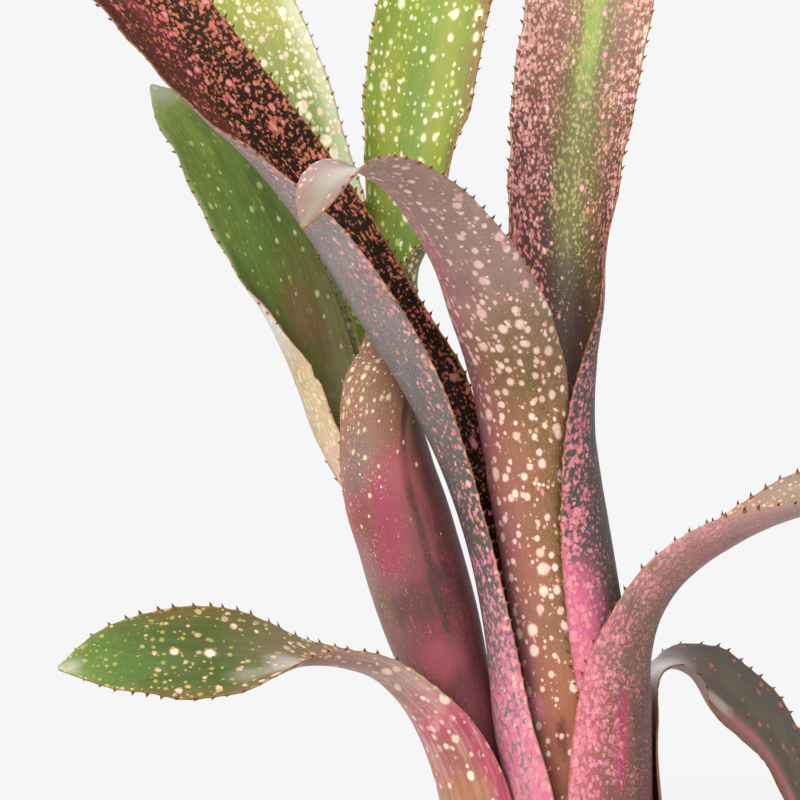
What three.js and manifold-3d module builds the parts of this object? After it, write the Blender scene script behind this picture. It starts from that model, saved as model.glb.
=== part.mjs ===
// A billbergia picked as a clump of two shoots, standing on the flat cut of its stem.
// Millimetres, +Z up. The viewer stands at -Y, +X is to the viewer's right.
// Nine channelled strap leaves with toothed margins rise from one short stem.
import * as THREE from 'three';
import Module from 'manifold-3d';

const wasm = await Module();
wasm.setup();

// Blade section
const BLADE_THICKNESS = 1.2;
const MARGIN_THICKNESS = 0.8;
const CELLS_ACROSS = 6;
const ROW_LENGTH = 14;

// Marginal teeth
const TOOTH_HEIGHT = 1.8;
const TOOTH_HALF_BASE = 1.1;
const TOOTH_LEAN = 0.9;
const TOOTH_THICKNESS = 0.6;
const SHEATH_WITHOUT_TEETH = 112;
const TIP_WITHOUT_TEETH = 6;

// Stem: [height, radius] of each step, bottom to top, a step just under every leaf foot
const MAIN_CENTRE = [7, 0];
const MAIN_STEPS = [
  [0, 20.6],
  [9.7, 22.1],
  [9.7, 19.3],
  [13.7, 19.3],
  [13.7, 16.9],
  [21.7, 14.4],
  [21.7, 12.1],
  [29.7, 10.2],
  [29.7, 8.0],
  [40, 4.5],
  [46, 1.2],
];
const SIDE_CENTRE = [-23.8, 4];
const SIDE_STEPS = [
  [0, 12.2],
  [11.7, 13.4],
  [11.7, 8.7],
  [17.7, 8.7],
  [17.7, 6.5],
  [25.7, 6.3],
  [25.7, 4.2],
  [33.7, 4.0],
  [33.7, 2.1],
  [44, 1.0],
];
const STEM_SIDES = 40;

// Leaves: stations along the midrib, foot to tip, each row being
// [x, y, z, half width along the section, channel radius, facing in degrees, roll in degrees].
// Facing is the way that the outer face looks: 0 to the viewer, 90 to the viewer's right.
const LEAVES = [
  {
    name: 'leaf_low_left',
    colour: 0x4a5540,
    roughness: 0.5,
    stations: [
      [-31.8, -3.6, 12, 20, 12, -53, 0],
      [-32.4, -3.2, 60, 20, 12.4, -53, 0],
      [-31.2, -8.2, 100, 17.5, 15, -44, 0],
      [-39.8, -9.5, 121, 14.5, 12, -47, 0],
      [-47, -11.5, 130.5, 13, 11.5, -58, 0],
      [-55.3, -14.5, 137.8, 12.3, 11.5, -66, 0],
      [-65.5, -19, 141.5, 11.6, 12, -72, 0],
      [-76, -23, 142.8, 11.8, 13, -72, -12],
      [-86, -26, 143.7, 12.8, 17, -72, -38],
      [-96.5, -29, 144.6, 14.3, 22, -72, -60],
      [-108, -32, 145.3, 14.6, 26, -72, -70],
      [-121, -35, 145.4, 12.7, 28, -72, -72],
      [-134, -38, 144.4, 8.8, 28, -72, -70],
      [-147, -41, 142.3, 0.7, 28, -72, -65],
    ],
  },
  {
    name: 'leaf_right_arching',
    colour: 0x9c5560,
    roughness: 0.55,
    stations: [
      [23, -9.2, 14, 25, 18.5, 60, 0],
      [23.9, -9.8, 60, 26, 19.5, 60, 0],
      [25.1, -9.1, 100, 28, 20, 63, 0],
      [25.5, -6, 129, 25, 18, 66, 0],
      [26, -4, 142.5, 22, 16, 70, 0],
      [29, -3, 153.5, 19.5, 13.5, 78, 0],
      [34.5, -2, 163, 17.8, 12.2, 85, -4],
      [43, -1, 171, 16.5, 12, 90, -6],
      [52.5, 0, 177, 15.5, 12.5, 90, -3],
      [63, 2, 182.5, 14.8, 13.5, 90, 9],
      [74, 4, 187, 14.8, 15, 90, 21],
      [89.5, 7, 190.5, 14.5, 18, 90, 22],
      [105, 10, 190, 13, 20, 90, 22],
      [120.5, 13, 184.5, 9.8, 22, 90, 20],
      [137.5, 16, 173.5, 0.7, 22, 90, 20],
    ],
  },
  {
    name: 'leaf_right_drooping',
    colour: 0x7d7468,
    roughness: 0.5,
    stations: [
      [20.8, 16.5, 10, 24, 21.5, 140, 0],
      [21.5, 17.2, 60, 25, 22.5, 140, 0],
      [22, 18, 100, 24, 22.5, 140, 0],
      [22.4, 16.6, 119, 18.5, 20.8, 136, 0],
      [24.3, 19.3, 130.5, 12, 20, 130, 0],
      [28.5, 22.7, 136.3, 8, 22, 123, 0],
      [34, 26.8, 138.2, 7.2, 26, 118, 2],
      [39.5, 31, 137.2, 10.5, 30, 115, 26],
      [47, 37, 132, 14.4, 30, 112, 50],
      [55.5, 43, 125.3, 15, 30, 110, 52],
      [64, 49, 117.5, 15, 30, 110, 52],
      [71, 54, 108, 14, 30, 110, 52],
      [77.5, 58, 95, 12.5, 30, 110, 52],
      [83, 61, 81, 9, 30, 110, 52],
      [87.5, 63, 66, 0.7, 30, 110, 52],
    ],
  },
  {
    name: 'leaf_left_dark',
    colour: 0x8a5f63,
    roughness: 0.6,
    stations: [
      [-10.5, 4.5, 14, 25, 18.5, -90, -15],
      [-12, 3.2, 60, 25.5, 19.5, -90, -11],
      [-15, 0.4, 99.5, 26, 19, -90, -7],
      [-18.9, 0.6, 121.5, 23.2, 16, -90, -12],
      [-21.2, 1, 147.5, 19.6, 13.5, -90, -18],
      [-26.8, 0, 176.5, 17.6, 12.5, -90, -19],
      [-34.4, 0, 199, 19, 12.5, -90, -19],
      [-44.5, 0, 220, 21.8, 12.5, -90, -18],
      [-59, 0, 243.5, 22.8, 13, -90, -15],
      [-71.5, 0, 265, 22.5, 14.5, -90, -19],
      [-86.8, 1, 288.5, 20.8, 18, -90, -30],
      [-103.5, 2, 310, 19.6, 24, -90, -43],
      [-125, 4, 337, 18.3, 28, -90, -50],
      [-147.5, 6, 360, 14, 30, -90, -50],
      [-175, 8, 381.5, 0.7, 30, -90, -50],
    ],
  },
  {
    name: 'leaf_centre_tall',
    colour: 0x6f8a4e,
    roughness: 0.5,
    stations: [
      [-21.3, -3.5, 18, 18, 8, 20, 0],
      [-21.3, -3.5, 60, 18, 8, 20, 0],
      [-22.1, -3, 100, 19, 8.5, 20, 0],
      [-27.2, -4.5, 130.5, 22.5, 10.8, 20, 0],
      [-33, -5.6, 154, 28, 14, 22, 0],
      [-39.5, -4.5, 178, 28.6, 14.8, 24, 0],
      [-45.4, -2.5, 200.5, 25.4, 14.4, 29, 0],
      [-45.9, 4.2, 217, 22.9, 13.2, 48, 0],
      [-42.4, 16.3, 230.5, 23, 13, 78, 0],
      [-43.7, 31, 244.5, 22.5, 12.8, 113, 0],
      [-47.3, 37.3, 260, 21.2, 12.5, 142, 0],
      [-44.1, 39, 275.5, 19.7, 11.5, 163, 0],
      [-44, 41, 292.5, 19, 14, 172, 0],
      [-42, 44, 313, 18.4, 24, 176, 0],
      [-38.5, 48, 337, 18.5, 28, 180, 0],
      [-32.5, 56, 363, 17, 28, 182, 0],
      [-26.5, 64, 389.5, 13, 28, 184, 0],
      [-19, 76, 425, 0.7, 28, 185, 0],
    ],
  },
  {
    name: 'leaf_left_green',
    colour: 0x71804f,
    roughness: 0.5,
    stations: [
      [-26.6, 6, 34, 8, 3.3, -128, 0],
      [-26.8, 6.2, 60, 8.5, 3.5, -128, 0],
      [-28.2, 7.7, 100, 10, 4, -128, 0],
      [-36.2, 9.4, 130, 12.5, 5.6, -128, 0],
      [-44.7, 13.1, 154, 15, 7.4, -128, 0],
      [-54.4, 17, 178, 16.5, 9, -125, 0],
      [-63.2, 21.8, 193, 17.5, 10, -122, 0],
      [-71.8, 26, 208, 18.5, 11, -120, 0],
      [-77.5, 31.5, 224.5, 20, 12.5, -122, 0],
      [-82, 34, 240, 19.5, 16, -134, 0],
      [-86.5, 36, 254, 17.8, 21, -146, 0],
      [-92.3, 38, 268.5, 16, 28, -152, 0],
      [-101, 40, 285, 14.3, 32, -154, 0],
      [-111, 42, 301, 11.5, 32, -154, 0],
      [-118.7, 44, 311.5, 8.8, 32, -154, 0],
      [-125.6, 46, 318, 0.7, 32, -154, 0],
    ],
  },
  {
    name: 'leaf_back_left',
    colour: 0x8d9560,
    roughness: 0.5,
    stations: [
      [-21.2, 8.8, 26, 12, 5.5, 150, 0],
      [-21.1, 9, 60, 12.5, 5.8, 150, 0],
      [-21.9, 10.4, 100, 13, 6.2, 150, 0],
      [-27.5, 12.7, 130, 15, 8, 150, 0],
      [-34.4, 17.1, 154, 17, 9.8, 152, 0],
      [-41.5, 21.3, 178, 15, 11.2, 152, 0],
      [-51.8, 27.3, 190, 13.6, 12.2, 169, 0],
      [-59.2, 33.2, 201, 13, 13.3, 175, 0],
      [-61.5, 42, 220, 15.5, 20, 175, 0],
      [-64.5, 47, 237, 16.5, 24, 176, 0],
      [-69, 52, 254.5, 17, 26, 178, 0],
      [-74, 57, 273.5, 17.5, 28, 180, 0],
      [-80.5, 62, 294, 17.8, 28, 182, 0],
      [-88.5, 68, 318.5, 18, 30, 184, 0],
      [-98.5, 74, 342.5, 17.5, 30, 186, 0],
      [-110.5, 79, 369, 15.5, 30, 188, 0],
      [-122, 85, 394, 11.5, 30, 190, 0],
      [-137, 91, 421.5, 0.7, 30, 190, 0],
    ],
  },
  {
    name: 'leaf_right_tall',
    colour: 0xa86a60,
    roughness: 0.5,
    stations: [
      [19.7, 5.2, 22, 19.5, 13.5, 112, 0],
      [20.2, 5.3, 60, 20.5, 14, 112, 0],
      [22, 3.8, 100, 22.5, 15, 104, 0],
      [22.8, 2.1, 130, 27, 14.8, 95, 0],
      [18.5, 3, 156.5, 27, 14.5, 97, 0],
      [12.4, 6.2, 190, 25.3, 13.6, 108, 0],
      [6.9, 9.9, 214, 24, 12.5, 131, 0],
      [5.3, 13.9, 229, 22.5, 12.5, 145, 0],
      [4.5, 18.5, 247.5, 21.2, 13.5, 158, 0],
      [2.4, 24, 269, 21, 15.4, 170, 0],
      [2.9, 27, 284, 21, 18.9, 174, 0],
      [5.1, 31.5, 307.5, 20.9, 24, 177, 0],
      [9.8, 38, 337.5, 21.3, 27.5, 180, 0],
      [14.5, 48, 370, 21, 30, 182, 0],
      [19.5, 58, 402.5, 16.5, 30, 184, 0],
      [25.5, 70, 443.5, 0.7, 30, 185, 0],
    ],
  },
  {
    name: 'leaf_front',
    colour: 0x7c5f4e,
    roughness: 0.5,
    stations: [
      [3.7, -8.8, 30, 16, 9.4, -20, 0],
      [3.4, -9.2, 60, 16.5, 9.8, -20, 0],
      [-0.1, -11.3, 100, 20, 12, -20, 0],
      [-3.1, -11.7, 134, 20.9, 12.5, -20, 0],
      [-7.6, -11.3, 161, 20.5, 11.5, -18, 0],
      [-12, -11.3, 190.5, 20, 12, -18, 0],
      [-16.4, -12.6, 220, 20.2, 16, -25, 0],
      [-23.6, -24, 240.6, 21.6, 17.5, -32, 0],
      [-31.4, -37, 260, 18, 20, -38, 0],
      [-40.2, -50, 273.6, 15.8, 24, -42, 0],
      [-50.8, -65, 282.4, 14.2, 28, -46, 0],
      [-61.8, -78, 284.2, 13.2, 28, -50, 0],
      [-68.2, -86, 278.8, 11.4, 28, -52, 0],
      [-71.9, -90, 272.6, 7, 28, -52, 0],
      [-75, -92, 267.4, 0.7, 28, -52, 0],
    ],
  },
];

// A smooth curve through the stations, measured by the distance along them
function leafCurve(stations) {
  const distance = [0];
  for (let i = 1; i < stations.length; i += 1) {
    const [a, b] = [stations[i - 1], stations[i]];
    distance.push(distance[i - 1] + Math.hypot(b[0] - a[0], b[1] - a[1], b[2] - a[2]));
  }
  const step = (i) => distance[i + 1] - distance[i];
  const rise = (i, k) => (stations[i + 1][k] - stations[i][k]) / step(i);
  const last = stations.length - 1;
  const slopes = stations.map((row, i) => row.map((value, k) => {
    if (i === 0) return k === 2 ? 1 : 0;
    if (i === last) return rise(last - 1, k);
    return (rise(i - 1, k) * step(i) + rise(i, k) * step(i - 1)) / (step(i) + step(i - 1));
  }));
  const at = (s) => {
    let i = 0;
    while (i < last - 1 && s > distance[i + 1]) i += 1;
    const h = step(i);
    const t = (s - distance[i]) / h;
    const [t2, t3] = [t * t, t * t * t];
    return stations[i].map((value, k) => (
      (2 * t3 - 3 * t2 + 1) * value + (t3 - 2 * t2 + t) * h * slopes[i][k]
      + (3 * t2 - 2 * t3) * stations[i + 1][k] + (t3 - t2) * h * slopes[i + 1][k]
    ));
  };
  return { at, length: distance[last] };
}

// The middle of the channel's mouth, or its centre where it is rolled past a half circle.
// It leads the blade, so that a rolled sheath stays square to its own tube while it unrolls.
function mouthPoint(curve, s) {
  const [x, y, z, half, radius, facing] = curve.at(THREE.MathUtils.clamp(s, 0, curve.length));
  const depth = radius * (1 - Math.cos(Math.min(half / radius, Math.PI / 2)));
  const turn = THREE.MathUtils.degToRad(facing);
  return new THREE.Vector3(x - Math.sin(turn) * depth, y + Math.cos(turn) * depth, z);
}

// Place and outward direction of the blade at a distance along it and an offset across it
function bladePoint(curve, s, across, beyond = 0) {
  const [x, y, z, half, radius, facing, roll] = curve.at(s);
  const along = mouthPoint(curve, s + 0.5).sub(mouthPoint(curve, s - 0.5)).normalize();
  const turn = THREE.MathUtils.degToRad(facing);
  const side = new THREE.Vector3(Math.cos(turn), Math.sin(turn), 0);
  side.addScaledVector(along, -side.dot(along)).normalize();
  const outward = new THREE.Vector3().crossVectors(side, along);
  const tilt = THREE.MathUtils.degToRad(roll);
  const rolledOut = outward.clone().multiplyScalar(Math.cos(tilt));
  rolledOut.addScaledVector(side, Math.sin(tilt));
  const rolledSide = side.clone().multiplyScalar(Math.cos(tilt));
  rolledSide.addScaledVector(outward, -Math.sin(tilt));
  const angle = (across * half) / radius;
  const normal = rolledOut.clone().multiplyScalar(Math.cos(angle));
  normal.addScaledVector(rolledSide, Math.sin(angle));
  const edgeward = rolledSide.clone().multiplyScalar(Math.cos(angle));
  edgeward.addScaledVector(rolledOut, -Math.sin(angle));
  const point = new THREE.Vector3(x, y, z);
  point.addScaledVector(rolledSide, radius * Math.sin(angle));
  point.addScaledVector(rolledOut, -radius * (1 - Math.cos(angle)));
  point.addScaledVector(edgeward, beyond * Math.sign(across));
  return { point, normal };
}

// A closed blade: the same triangles on both faces, a wall round the margin with its teeth
function leafGeometry(stations) {
  const curve = leafCurve(stations);
  const rows = Math.round(curve.length / ROW_LENGTH);
  const pitch = curve.length / rows;
  const spots = [];
  const faces = [];
  const addSpot = (s, across, thickness, beyond) => {
    spots.push({ ...bladePoint(curve, s, across, beyond), thickness });
    return spots.length - 1;
  };
  const grid = [];
  for (let i = 0; i <= rows; i += 1) {
    const line = [];
    for (let j = 0; j <= CELLS_ACROSS; j += 1) {
      const across = (2 * j) / CELLS_ACROSS - 1;
      const atMargin = Math.abs(across) === 1;
      line.push(addSpot(i * pitch, across, atMargin ? MARGIN_THICKNESS : BLADE_THICKNESS));
    }
    grid.push(line);
  }
  // Margins run foot to tip on the right side and tip to foot on the left side
  const margins = { [-1]: [grid[0][0]], 1: [grid[0][CELLS_ACROSS]] };
  for (let i = 0; i < rows; i += 1) {
    const middle = (i + 0.5) * pitch;
    const toothed = middle > SHEATH_WITHOUT_TEETH && middle < curve.length - TIP_WITHOUT_TEETH;
    for (let j = 1; j < CELLS_ACROSS - 1; j += 1) {
      const [a, b, c, d] = [grid[i][j], grid[i][j + 1], grid[i + 1][j + 1], grid[i + 1][j]];
      faces.push([a, b, c], [a, c, d]);
    }
    for (const side of [-1, 1]) {
      const edge = side < 0 ? 0 : CELLS_ACROSS;
      const inner = edge - side;
      const [a, b, c, d] = [grid[i][inner], grid[i][edge], grid[i + 1][edge], grid[i + 1][inner]];
      const ring = [a, b];
      if (toothed) {
        const low = addSpot(middle - TOOTH_HALF_BASE, side, MARGIN_THICKNESS);
        const high = addSpot(middle + TOOTH_HALF_BASE, side, MARGIN_THICKNESS);
        const tip = addSpot(middle + TOOTH_LEAN, side, TOOTH_THICKNESS, TOOTH_HEIGHT);
        const cells = [[a, b, low], [a, low, high], [a, high, d], [d, high, c], [low, tip, high]];
        for (const cell of cells) faces.push(side > 0 ? cell : [cell[0], cell[2], cell[1]]);
        margins[side].push(low, tip, high);
      } else {
        const cells = [[a, b, c], [a, c, d]];
        for (const cell of cells) faces.push(side > 0 ? cell : [cell[0], cell[2], cell[1]]);
      }
      margins[side].push(c);
    }
  }
  const outline = [
    ...grid[0],
    ...margins[1].slice(1),
    ...grid[rows].slice(0, -1).reverse(),
    ...margins[-1].slice(1, -1).reverse(),
  ];
  const count = spots.length;
  const positions = [];
  for (const sign of [1, -1]) {
    for (const { point, normal, thickness } of spots) {
      positions.push(...point.clone().addScaledVector(normal, (sign * thickness) / 2).toArray());
    }
  }
  const index = [];
  for (const [a, b, c] of faces) {
    index.push(a, b, c);
    index.push(a + count, c + count, b + count);
  }
  outline.forEach((a, i) => {
    const b = outline[(i + 1) % outline.length];
    index.push(a, a + count, b + count);
    index.push(a, b + count, b);
  });
  const geometry = new THREE.BufferGeometry();
  geometry.setAttribute('position', new THREE.Float32BufferAttribute(positions, 3));
  geometry.setIndex(index);
  return geometry;
}

// One round stalk, turned from the steps that carry the leaf feet
function stalk([x, y], steps) {
  const outline = [[0, steps[0][0]], ...steps.map(([z, r]) => [r, z]), [0, steps.at(-1)[0]]];
  const profile = new wasm.CrossSection([outline], 'Positive');
  return profile.revolve(STEM_SIDES).translate([x, y, 0]);
}

function stemGeometry() {
  const joined = stalk(MAIN_CENTRE, MAIN_STEPS).add(stalk(SIDE_CENTRE, SIDE_STEPS));
  const mesh = joined.getMesh();
  const geometry = new THREE.BufferGeometry();
  geometry.setAttribute('position', new THREE.Float32BufferAttribute(mesh.vertProperties, 3));
  geometry.setIndex([...mesh.triVerts]);
  return geometry;
}

function part(name, geometry, color, roughness) {
  geometry.computeVertexNormals();
  const material = new THREE.MeshStandardMaterial({ color, roughness, metalness: 0 });
  const mesh = new THREE.Mesh(geometry, material);
  mesh.name = name;
  return mesh;
}

const plant = new THREE.Group();
plant.name = 'billbergia';
plant.add(part('stem', stemGeometry(), 0x8a7a55, 0.8));
for (const { name, stations, colour, roughness } of LEAVES) {
  plant.add(part(name, leafGeometry(stations), colour, roughness));
}

export default plant;
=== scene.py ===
# The dressed billbergia: nine channelled, toothed leaves in two shoots on a short cut stem.
# Metres, +Z up, the viewer at -Y. Leaf stations and leaf sizes are in millimetres.
import math
import bpy
import numpy as np
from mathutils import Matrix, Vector


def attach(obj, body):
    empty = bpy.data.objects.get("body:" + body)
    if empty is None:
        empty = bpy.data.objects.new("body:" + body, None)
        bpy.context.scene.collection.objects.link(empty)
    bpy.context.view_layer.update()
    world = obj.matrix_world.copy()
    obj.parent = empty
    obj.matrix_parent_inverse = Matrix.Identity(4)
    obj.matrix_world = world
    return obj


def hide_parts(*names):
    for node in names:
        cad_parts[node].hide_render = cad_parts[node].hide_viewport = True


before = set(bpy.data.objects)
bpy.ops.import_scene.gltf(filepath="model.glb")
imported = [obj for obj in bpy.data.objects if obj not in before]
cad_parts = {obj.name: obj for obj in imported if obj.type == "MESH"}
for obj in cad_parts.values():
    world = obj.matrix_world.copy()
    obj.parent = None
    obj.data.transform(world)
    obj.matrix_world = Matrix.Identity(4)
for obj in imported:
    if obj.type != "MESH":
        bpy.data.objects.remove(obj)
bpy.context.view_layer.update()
print("frame loaded:", len(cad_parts), "nodes")

# The camera, floor and light
view = {
    "camera": (-0.048, -1.2, 0.220),
    "lens": 180.0,  # on the sensor below, so that 0.24 m fills the frame at the plant
    "sensor": 36.0,
    "nearest": 0.01,
    "sky": (0.92, 0.92, 0.925, 1),
    "skyLight": 0.82,  # the share of the sky's brightness that lights the plant
    "floor": (0.5, 0.5, 0.5, 1),
    "floorRoughness": 0.9,
    "floorRadius": 40.0,
    "floorCorners": 64,
    "floorFades": (0.35, 1.3),  # from here to here the floor turns into the sky's glow
}

# name, place, aim, size, watts, colour
lamps = [
    ("lampFront", (-0.75, -1.6, 1.3), (-0.03, 0, 0.2), 1.6, 42.0, (1.0, 0.985, 0.965)),
    ("lampBack", (-0.7, 1.5, 1.4), (-0.03, 0, 0.25), 1.2, 32.0, (1.0, 1.0, 1.0)),
]


def aimed(origin, target):
    # the rotation that looks from one point to another
    return (Vector(target) - Vector(origin)).to_track_quat("-Z", "Y").to_euler()


def buildCamera():
    camera = bpy.data.objects.new("camera", bpy.data.cameras.new("camera"))
    camera.data.lens = view["lens"]
    camera.data.sensor_width = view["sensor"]
    camera.data.clip_start = view["nearest"]
    camera.location = view["camera"]
    camera.rotation_euler = (math.pi / 2, 0, 0)
    bpy.context.scene.collection.objects.link(camera)
    bpy.context.scene.camera = camera
    bpy.context.scene.view_settings.view_transform = "Standard"


def buildLight():
    # the sky is a little brighter to the camera than to the plant
    world = bpy.data.worlds.new("paleRoom")
    world.use_nodes = True
    bpy.context.scene.world = world
    sky = world.node_tree.nodes["Background"]
    sky.inputs["Color"].default_value = view["sky"]
    seen = world.node_tree.nodes.new("ShaderNodeLightPath")
    level = world.node_tree.nodes.new("ShaderNodeMapRange")
    level.inputs["To Min"].default_value = view["skyLight"]
    world.node_tree.links.new(seen.outputs["Is Camera Ray"], level.inputs["Value"])
    world.node_tree.links.new(level.outputs["Result"], sky.inputs["Strength"])
    for name, place, aim, size, watts, colour in lamps:
        lamp = bpy.data.lights.new(name, "AREA")
        lamp.shape = "DISK"
        lamp.size = size
        lamp.energy = watts
        lamp.color = colour
        holder = bpy.data.objects.new(name, lamp)
        holder.location = place
        holder.rotation_euler = aimed(place, aim)
        bpy.context.scene.collection.objects.link(holder)


def buildFloor():
    # a flat round floor of one face
    corners = view["floorCorners"]
    turns = np.linspace(0, 2 * np.pi, corners + 1)[:-1]
    rim = np.stack([np.cos(turns), np.sin(turns), 0 * turns], 1) * view["floorRadius"]
    floor = newPiece("floor", rim, [np.arange(corners)[None]])
    paint = Paint("paleFloor")
    paint.shader.inputs["Base Color"].default_value = view["floor"]
    paint.shader.inputs["Roughness"].default_value = view["floorRoughness"]
    # far out the floor glows like the sky, so no horizon shows
    place = paint.add("TexCoord", {}, {}, "Object")
    away = paint.add("VectorMath", {"operation": "LENGTH"}, {0: place}, "Value")
    glow = paint.add("Emission", {}, {"Color": view["sky"], "Strength": 1.0})
    skin = Wire(paint, paint.shader.outputs["BSDF"])
    fade = away.smooth(*view["floorFades"])
    floorSkin = paint.add("MixShader", {}, {0: fade, 1: skin, 2: glow})
    paint.feed(paint.tree.nodes["Material Output"].inputs["Surface"], floorSkin)
    floor.data.materials.append(paint.material)


def newPiece(name, points, faceSets):
    # a mesh from whole arrays; each face set is an array of corner numbers, one face a row
    corners = np.concatenate([faces.ravel() for faces in faceSets])
    sizes = np.concatenate([np.full(len(faces), faces.shape[1]) for faces in faceSets])
    starts = np.concatenate([[0], np.cumsum(sizes)[:-1]])
    mesh = bpy.data.meshes.new(name)
    mesh.vertices.add(len(points))
    mesh.vertices.foreach_set("co", np.asarray(points, np.float32).ravel())
    mesh.loops.add(len(corners))
    mesh.loops.foreach_set("vertex_index", corners.astype(np.int32))
    mesh.polygons.add(len(sizes))
    mesh.polygons.foreach_set("loop_start", starts.astype(np.int32))
    mesh.polygons.foreach_set("loop_total", sizes.astype(np.int32))
    mesh.polygons.foreach_set("use_smooth", np.ones(len(sizes), bool))
    mesh.update(calc_edges=True)
    piece = bpy.data.objects.new(name, mesh)
    bpy.context.scene.collection.objects.link(piece)
    return piece


def keepOnPoints(piece, name, values):
    # a vector for every point, for the materials to read
    layer = piece.data.attributes.new(name, "FLOAT_VECTOR", "POINT")
    layer.data.foreach_set("vector", np.asarray(values, np.float32).ravel())


# The form that all the leaves share, in millimetres
leafForm = {
    "rowSpacing": 0.9,
    "cellsAcross": 20,
    "cellCrowding": 0.9,  # how much closer the cells lie towards the margins
    "thickness": 1.2,
    "marginThickness": 0.5,
    "marginSharpness": 7,
    "ripple": 0.25,
    "rippleSpans": ((9.0, 1), (5.3, -1), (3.1, 1)),  # each wave's length, and the margin it favours
    "rippleFrom": 150.0,
    "rippleEases": (40.0, 20.0),  # over this much at the sheath and at the tip
    "bump": 0.3,  # how far the margin swells under a tooth
    "bumpLength": 0.95,
    "bumpSharpness": 14,
    "toothSpacing": 4.7,
    "toothScatter": 0.8,
    "toothHeight": 1.7,
    "toothLean": 0.9,
    "toothHook": 0.55,
    "toothSunk": 0.5,
    "toothHalfBase": 0.85,
    "toothHalfThickness": 0.22,
    "toothTaper": 1.1,
    "toothRings": (0, 0.3, 0.6, 0.85),
    "toothCorners": 6,
    "toothless": 112.0,
    "tipToothless": 4.0,
}


def smoothCurve(stations):
    # cubic pieces through the stations, measured by the chord length along them;
    # the slope at a station is the mean of its two chords, weighted to the shorter one
    rows = np.array(stations, float)
    chord = np.linalg.norm(np.diff(rows[:, :3], axis=0), axis=1)
    reach = np.concatenate([[0], np.cumsum(chord)])
    rise = np.diff(rows, axis=0) / chord[:, None]
    slope = np.zeros_like(rows)
    slope[0, 2] = 1
    slope[-1] = rise[-1]
    before, after = chord[:-1, None], chord[1:, None]
    slope[1:-1] = (rise[:-1] * after + rise[1:] * before) / (before + after)

    def at(s):
        i = np.clip(np.searchsorted(reach, s, side="right") - 1, 0, len(chord) - 1)
        h = chord[i][:, None]
        t = (s - reach[i])[:, None] / h
        return ((2 * t**3 - 3 * t**2 + 1) * rows[i] + (t**3 - 2 * t**2 + t) * h * slope[i]
                + (3 * t**2 - 2 * t**3) * rows[i + 1] + (t**3 - t**2) * h * slope[i + 1])
    return at, reach[-1]


def unit(vectors):
    return vectors / np.linalg.norm(vectors, axis=-1, keepdims=True)


def leafFrames(at, length, s):
    # the blade follows the middle of its channel's mouth; side and out turn with facing and roll
    def mouth(where):
        row = at(np.clip(where, 0, length))
        depth = row[:, 4] * (1 - np.cos(np.minimum(row[:, 3] / row[:, 4], np.pi / 2)))
        turn = np.radians(row[:, 5])
        return row[:, :3] - np.stack([np.sin(turn) * depth, -np.cos(turn) * depth, 0 * turn], 1)
    row = at(s)
    along = unit(mouth(s + 0.5) - mouth(s - 0.5))
    turn, roll = np.radians(row[:, 5]), np.radians(row[:, 6])[:, None]
    side = np.stack([np.cos(turn), np.sin(turn), 0 * turn], 1)
    side = unit(side - along * (side * along).sum(1, keepdims=True))
    out = np.cross(side, along)
    rolledOut = np.cos(roll) * out + np.sin(roll) * side
    rolledSide = np.cos(roll) * side - np.sin(roll) * out
    return row[:, :3], rolledSide, rolledOut, row[:, 3], row[:, 4]


def onBlade(at, length, s, u):
    # point = middle + side * radius * sin(a) - out * radius * (1 - cos(a)),
    # where a = u * half width / radius
    middle, side, out, half, radius = leafFrames(at, length, s)
    a = (u * (half / radius)[:, None])[..., None]
    r = radius[:, None, None]
    side, out = side[:, None], out[:, None]
    points = middle[:, None] + side * r * np.sin(a) - out * r * (1 - np.cos(a))
    normals = out * np.cos(a) + side * np.sin(a)
    edgeward = (side * np.cos(a) - out * np.sin(a)) * np.sign(u)[..., None]
    return points, normals, edgeward, half


def toothPlaces(length, scale, rng):
    # evenly spaced with a little scatter, smaller at the sheath and at the tip
    first, last = leafForm["toothless"], length - leafForm["tipToothless"]
    scatter = leafForm["toothScatter"]
    places = np.arange(first, last, leafForm["toothSpacing"])
    places = places + rng.uniform(-scatter, scatter, len(places))
    fromSheath = np.clip((places - first) / 15 + 0.55, 0.55, 1)
    fromTip = np.clip((length - places) / 30 + 0.35, 0.35, 1)
    size = fromSheath * fromTip
    return places, scale * size * rng.uniform(0.82, 1.0, len(places))


def marginSwell(s, grid, teeth):
    # the margin bulges at the foot of each tooth
    swell = np.zeros_like(grid)
    for sign in (-1, 1):
        places, size = teeth[sign]
        near = np.exp(-((s[:, None] - places[None]) / leafForm["bumpLength"]) ** 2) * size[None]
        reach = np.where(np.sign(grid) == sign, np.abs(grid) ** leafForm["bumpSharpness"], 0)
        swell = swell + near.sum(1)[:, None] * reach
    return swell * leafForm["bump"]


def marginWaves(s, grid, length, rng):
    # the free blade's margins ripple a little, out of step on the two sides
    waves = sum(np.sin(s[:, None] / span + rng.uniform(0, 6.3)) * grid**4 * (1 + 0.4 * np.sign(grid) * turn)
                for span, turn in leafForm["rippleSpans"])
    start, end = leafForm["rippleEases"]
    free = np.clip((s - leafForm["rippleFrom"]) / start, 0, 1) * np.clip((length - s) / end, 0, 1)
    return waves * free[:, None] * leafForm["ripple"]


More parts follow.
